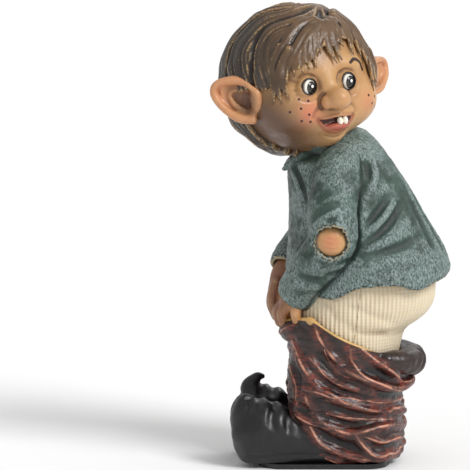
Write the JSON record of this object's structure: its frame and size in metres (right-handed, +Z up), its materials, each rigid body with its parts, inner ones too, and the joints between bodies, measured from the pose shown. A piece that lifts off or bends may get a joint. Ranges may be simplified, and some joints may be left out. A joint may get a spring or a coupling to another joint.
{
  "type": "garden gnome",
  "caption": "Free-standing painted cast-resin pixie with cup ears, looking over its shoulder and holding up its dropped breeches, in cream drawers, tunic and curled shoes.",
  "frame": {"origin": "on the ground, below the middle of the figure's bounding box", "axes": "+Z up. The shown side of the figure, with the face turned towards it, faces -Y. The body and the shoes' toes point towards -X, and the back and seat towards +X."},
  "size_m": [0.0873, 0.065, 0.1686],
  "materials": {
    "skin_paint": "satin acrylic paint over cast resin, with an antique wash and dry-brushed highlights",
    "hair_paint": "matt brown paint over cast resin, dark in the grooves and lighter on the locks",
    "tunic_paint": "matt grey-green paint over cast resin, dry-brushed pale on a grainy cloth texture",
    "drawers_paint": "matt cream paint over cast resin with a fine knit texture",
    "breeches_paint": "near-black wash with orange-brown dry-brushed fold crests and a pale gold hem",
    "shoe_paint": "glossy black paint over cast resin",
    "eye_paint": "gloss white with a painted brown iris, black pupil and a white catch-light",
    "tooth_paint": "gloss ivory white",
    "resin_core": "bare cast resin",
    "pin_steel": "plain drawn steel",
    "plug_rubber": "matt black"
  },
  "bodies": {
    "root": {"head_shell": "skin_paint", "hair_cap": "hair_paint", "ear_left": "skin_paint", "ear_right": "skin_paint", "eye_left": "eye_paint", "eye_right": "eye_paint", "front_teeth": "tooth_paint", "neck_spigot": "resin_core", "tunic_shell": "tunic_paint", "sleeve_left": "tunic_paint", "sleeve_right": "tunic_paint", "elbow_left": "skin_paint", "arm_pins": "pin_steel", "hand_left": "skin_paint", "hand_right": "skin_paint", "drawers_shell": "drawers_paint", "breeches_shell": "breeches_paint", "shoe_left": "shoe_paint", "shoe_right": "shoe_paint", "shoe_pins": "pin_steel", "base_plate": "shoe_paint", "vent_plug": "plug_rubber"}
  },
  "joints": []
}
